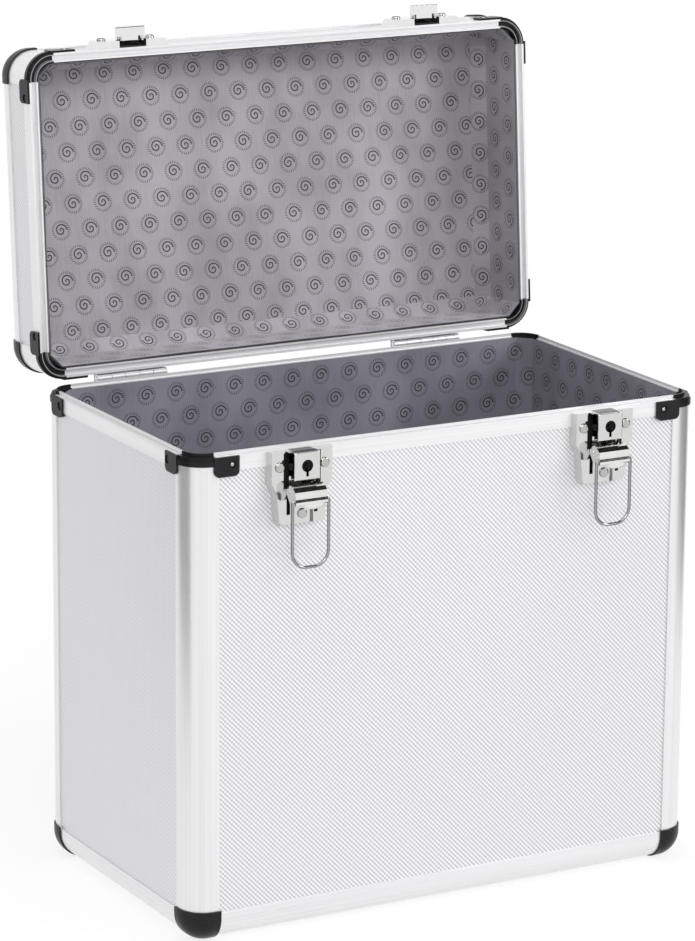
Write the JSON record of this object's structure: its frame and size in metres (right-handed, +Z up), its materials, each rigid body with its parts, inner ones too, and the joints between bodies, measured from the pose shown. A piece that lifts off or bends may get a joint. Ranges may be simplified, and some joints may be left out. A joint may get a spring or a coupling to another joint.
{
  "type": "record carrying case",
  "caption": "Upright carrying case for records: aluminium-edged boards, black corners, hinged lid held open on stops, key latches with wire bails, folding handle.",
  "frame": {"origin": "centre of the body's footprint, in the plane of the four bottom ball corners' flat undersides", "axes": "+Z up; -Y out of the front face, which carries the latches; +Y towards the hinges; +X to the right as seen from the front"},
  "size_m": [0.3528, 0.2897, 0.5158],
  "materials": {
    "panel": "aluminium foil embossed with a diamond pattern, on board",
    "edge_profile": "satin anodised",
    "corner_plastic": "black, fine grain",
    "lining": "grey printed fabric with a satin sheen",
    "handle_plastic": "black, fine grain",
    "steel": "bright zinc plate",
    "chrome": "polished nickel plate"
  },
  "bodies": {
    "case": {"body_back_panel": "panel", "body_ball_corners": "corner_plastic", "body_bottom_panel": "panel", "body_bottom_profile_back": "edge_profile", "body_bottom_profile_front": "edge_profile", "body_bottom_profile_left": "edge_profile", "body_bottom_profile_right": "edge_profile", "body_corner_profile_back_left": "edge_profile", "body_corner_profile_back_right": "edge_profile", "body_corner_profile_front_left": "edge_profile", "body_corner_profile_front_right": "edge_profile", "body_front_panel": "panel", "body_left_panel": "panel", "body_lining": "lining", "body_right_panel": "panel", "body_rim_back": "edge_profile", "body_rim_corners": "corner_plastic", "body_rim_front": "edge_profile", "body_rim_left": "edge_profile", "body_rim_right": "edge_profile", "body_rivets": "steel", "hinge_body_leaves": "steel", "hinge_pins": "steel", "latch_left_base": "chrome", "latch_left_lock_housing": "chrome", "latch_lever_pins": "steel", "latch_right_base": "chrome", "latch_right_lock_housing": "chrome"},
    "lid": {"handle_brackets": "chrome", "handle_pins": "steel", "hinge_lid_leaves": "steel", "latch_keepers": "chrome", "lid_back_panel": "panel", "lid_ball_corners": "corner_plastic", "lid_corner_profile_back_left": "edge_profile", "lid_corner_profile_back_right": "edge_profile", "lid_corner_profile_front_left": "edge_profile", "lid_corner_profile_front_right": "edge_profile", "lid_front_panel": "panel", "lid_left_panel": "panel", "lid_lining": "lining", "lid_right_panel": "panel", "lid_rim_back": "edge_profile", "lid_rim_corners": "corner_plastic", "lid_rim_front": "edge_profile", "lid_rim_left": "edge_profile", "lid_rim_right": "edge_profile", "lid_rivets": "steel", "lid_top_panel": "panel", "lid_top_profile_back": "edge_profile", "lid_top_profile_front": "edge_profile", "lid_top_profile_left": "edge_profile", "lid_top_profile_right": "edge_profile"},
    "lock_left": {"latch_left_lock_cam": "steel"},
    "latch_left_lever": {"latch_left_lever": "chrome"},
    "latch_left_bail": {"latch_left_bail": "chrome"},
    "lock_right": {"latch_right_lock_cam": "steel"},
    "latch_right_lever": {"latch_right_lever": "chrome"},
    "latch_right_bail": {"latch_right_bail": "chrome"},
    "handle": {"handle_grip": "handle_plastic"}
  },
  "joints": [
    {"name": "lid_hinge", "type": "hinge", "parent": "case", "child": "lid", "pos_m": [0, 0.103, 0.301], "axis": [1, 0, 0], "range_deg": [0, 94.2]},
    {"name": "latch_left_lever_pivot", "type": "hinge", "parent": "case", "child": "latch_left_lever", "pos_m": [-0.104, -0.108, 0.275], "axis": [1, 0, 0], "range_deg": [-55, 0]},
    {"name": "latch_left_bail_pivot", "type": "hinge", "parent": "latch_left_lever", "child": "latch_left_bail", "pos_m": [-0.104, -0.115, 0.271], "axis": [-1, 0, 0], "range_deg": [0, 188]},
    {"name": "lock_left_turn", "type": "hinge", "parent": "case", "child": "lock_left", "pos_m": [-0.104, -0.10825, 0.2903], "axis": [0, -1, 0], "range_deg": [0, 90]},
    {"name": "latch_right_lever_pivot", "type": "hinge", "parent": "case", "child": "latch_right_lever", "pos_m": [0.104, -0.108, 0.275], "axis": [1, 0, 0], "range_deg": [-55, 0]},
    {"name": "latch_right_bail_pivot", "type": "hinge", "parent": "latch_right_lever", "child": "latch_right_bail", "pos_m": [0.104, -0.115, 0.271], "axis": [-1, 0, 0], "range_deg": [0, 188]},
    {"name": "lock_right_turn", "type": "hinge", "parent": "case", "child": "lock_right", "pos_m": [0.104, -0.10825, 0.2903], "axis": [0, -1, 0], "range_deg": [0, 90]},
    {"name": "handle_pivot", "type": "hinge", "parent": "lid", "child": "handle", "pos_m": [0, 0.16629, 0.39963], "axis": [1, 0, 0], "range_deg": [-5.5, 177]}
  ]
}
